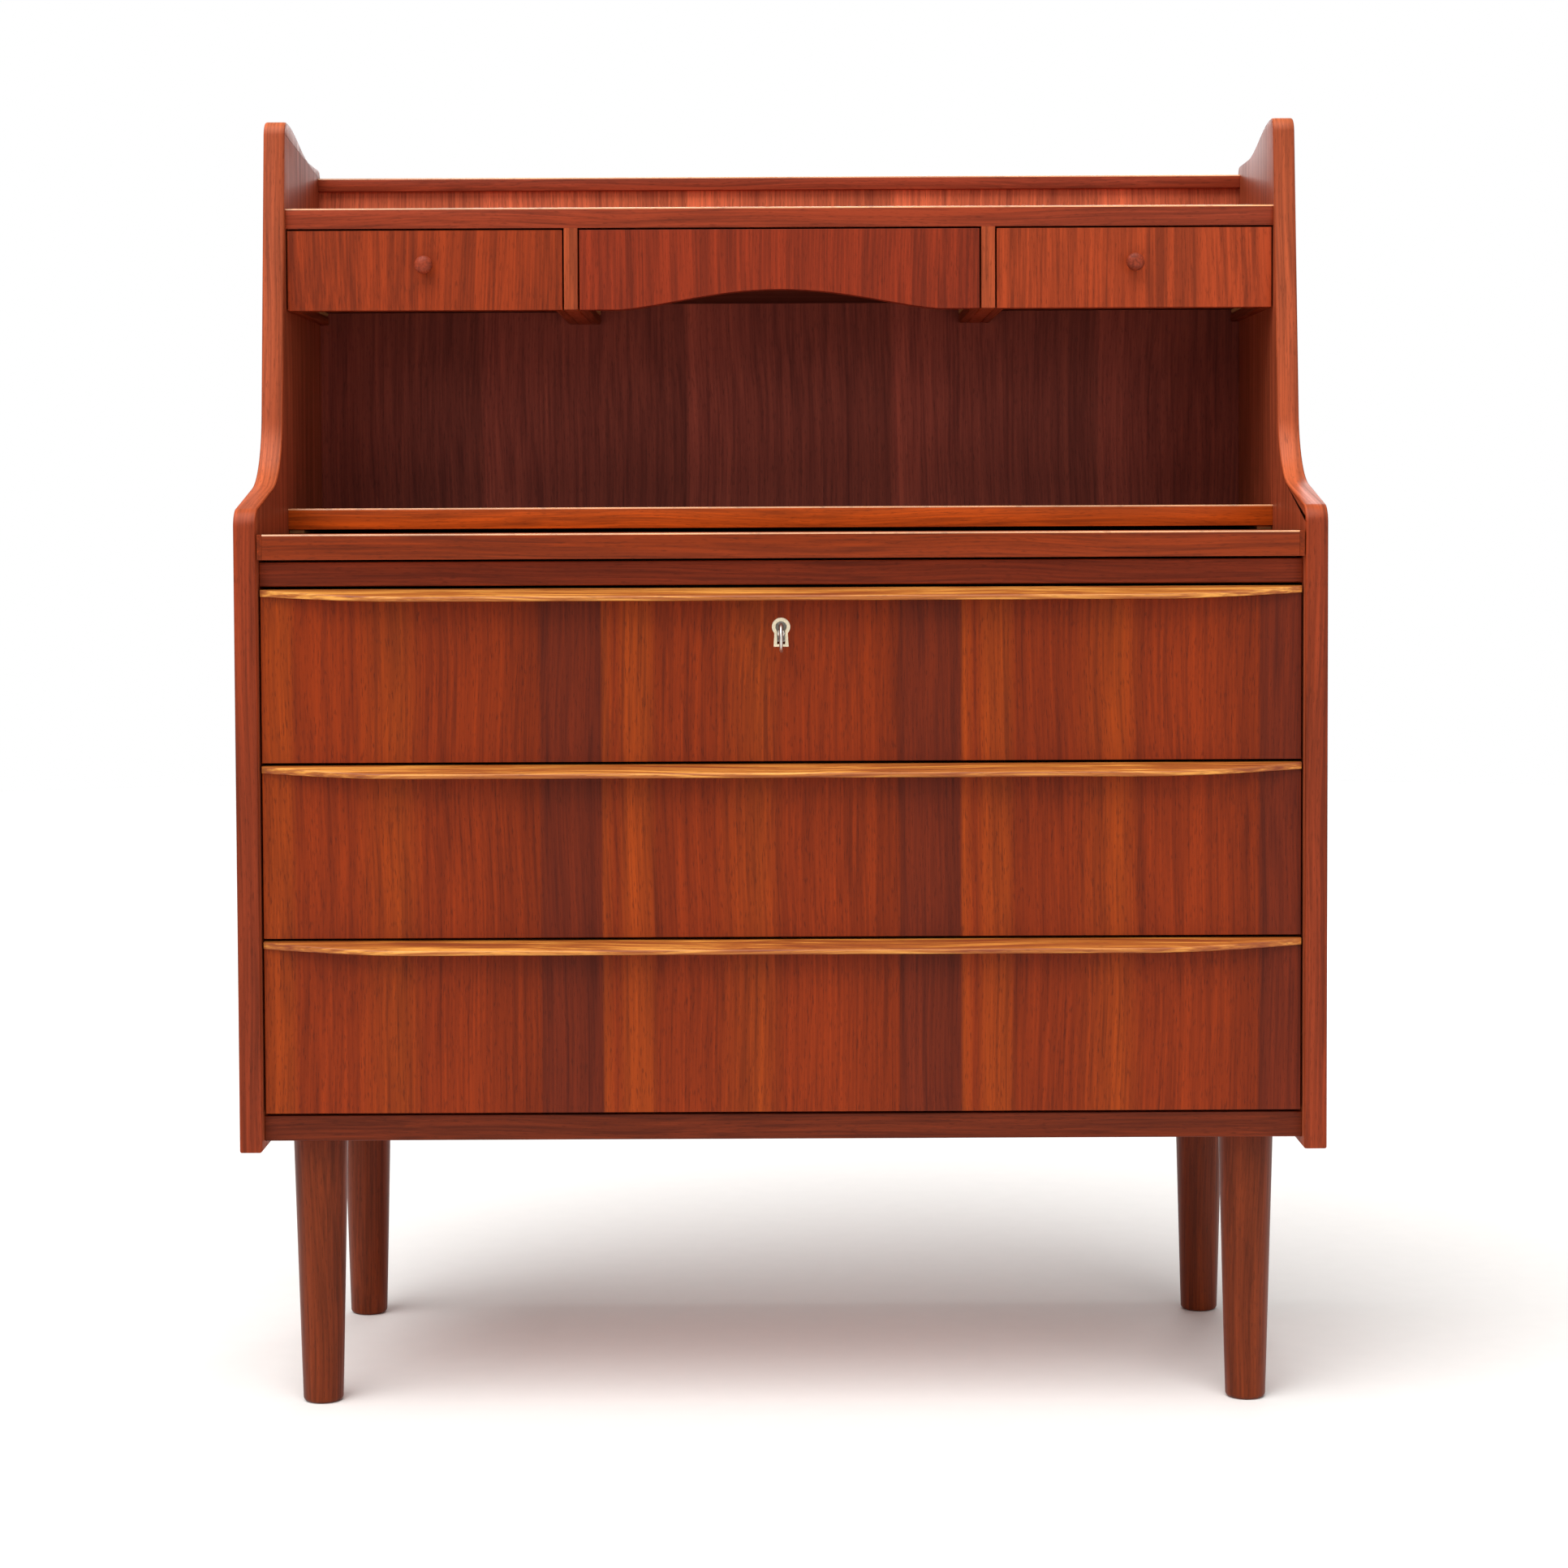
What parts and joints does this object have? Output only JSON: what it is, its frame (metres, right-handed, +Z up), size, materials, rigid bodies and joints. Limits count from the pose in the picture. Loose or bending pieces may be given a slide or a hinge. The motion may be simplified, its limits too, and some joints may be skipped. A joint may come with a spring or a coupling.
{
  "type": "secretary desk",
  "caption": "Secretary desk: long drawers with lip pulls and a lock, pull-out writing slide, open compartment and small drawers between shaped gables, on round tapered legs.",
  "frame": {"origin": "on the floor, in the middle of the desk's width and of its full depth, which the key's bow sets at the front", "axes": "+Z up; +X to the right of a person facing the desk; the front faces -Y, so drawers and the writing slide pull out along -Y"},
  "size_m": [0.96, 0.4528, 1.167],
  "materials": {
    "teak_veneer": "teak veneer, satin lacquer",
    "teak_solid": "solid teak, satin lacquer",
    "beech": "planed beech, thin lacquer",
    "plywood": "birch plywood, plain",
    "brass": "polished, lightly aged",
    "steel": "nickel plated"
  },
  "bodies": {
    "carcass": {"gable_left": "teak_veneer", "gable_right": "teak_veneer", "bottom_panel": "teak_veneer", "bottom_edging": "teak_solid", "compartment_shelf": "teak_veneer", "compartment_edging": "teak_solid", "top_shelf": "teak_veneer", "top_shelf_edging": "teak_solid", "back_panel_lower": "teak_veneer", "back_panel_upper": "teak_veneer", "back_top_rail": "teak_solid", "divider_left": "teak_solid", "divider_right": "teak_solid", "slide_rail_front": "teak_solid", "slide_guides": "beech", "drawer_runners": "beech", "small_drawer_runners": "teak_solid", "carcass_dowels": "beech", "carcass_screws": "brass", "lock_strike": "brass", "leg_front_left": "teak_solid", "leg_front_right": "teak_solid", "leg_rear_left": "teak_solid", "leg_rear_right": "teak_solid", "leg_fixings": "steel"},
    "writing_slide": {"slide_panel": "teak_veneer", "slide_front_edging": "teak_solid", "slide_end_edgings": "teak_solid", "slide_stops": "beech"},
    "drawer_top": {"drawer_top_front": "teak_veneer", "drawer_top_lip": "teak_solid", "drawer_top_sides": "beech", "drawer_top_back": "beech", "drawer_top_base": "plywood", "lock_escutcheon": "brass", "lock_case": "steel", "lock_screws": "brass"},
    "drawer_middle": {"drawer_middle_front": "teak_veneer", "drawer_middle_lip": "teak_solid", "drawer_middle_sides": "beech", "drawer_middle_back": "beech", "drawer_middle_base": "plywood"},
    "drawer_bottom": {"drawer_bottom_front": "teak_veneer", "drawer_bottom_lip": "teak_solid", "drawer_bottom_sides": "beech", "drawer_bottom_back": "beech", "drawer_bottom_base": "plywood"},
    "small_drawer_left": {"small_drawer_left_front": "teak_veneer", "small_drawer_left_box": "beech", "small_drawer_left_base": "plywood", "knob_left": "teak_solid"},
    "small_drawer_centre": {"small_drawer_centre_front": "teak_veneer", "small_drawer_centre_box": "beech", "small_drawer_centre_base": "plywood"},
    "small_drawer_right": {"small_drawer_right_front": "teak_veneer", "small_drawer_right_box": "beech", "small_drawer_right_base": "plywood", "knob_right": "teak_solid"},
    "lock_bolt": {"lock_bolt": "brass"},
    "key": {"key": "steel"}
  },
  "joints": [
    {"name": "writing_slide_travel", "type": "slide", "parent": "carcass", "child": "writing_slide", "axis": [0, -1, 0], "range_m": [0, 0.19]},
    {"name": "drawer_top_travel", "type": "slide", "parent": "carcass", "child": "drawer_top", "axis": [0, -1, 0], "range_m": [0, 0.3]},
    {"name": "drawer_middle_travel", "type": "slide", "parent": "carcass", "child": "drawer_middle", "axis": [0, -1, 0], "range_m": [0, 0.3]},
    {"name": "drawer_bottom_travel", "type": "slide", "parent": "carcass", "child": "drawer_bottom", "axis": [0, -1, 0], "range_m": [0, 0.3]},
    {"name": "small_drawer_left_travel", "type": "slide", "parent": "carcass", "child": "small_drawer_left", "axis": [0, -1, 0], "range_m": [0, 0.15]},
    {"name": "small_drawer_centre_travel", "type": "slide", "parent": "carcass", "child": "small_drawer_centre", "axis": [0, -1, 0], "range_m": [0, 0.15]},
    {"name": "small_drawer_right_travel", "type": "slide", "parent": "carcass", "child": "small_drawer_right", "axis": [0, -1, 0], "range_m": [0, 0.15]},
    {"name": "key_turn", "type": "hinge", "parent": "drawer_top", "child": "key", "pos_m": [0, -0.1796, 0.6995], "axis": [0, 0.9659, 0.2588], "range_deg": [0, 180]},
    {"name": "bolt_travel", "type": "slide", "parent": "drawer_top", "child": "lock_bolt", "axis": [0, 0, 1], "range_m": [0, 0.009]}
  ],
  "couplings": [
    {"joint": "bolt_travel", "follows": "key_turn", "m_per_rad": 0.0028648}
  ]
}
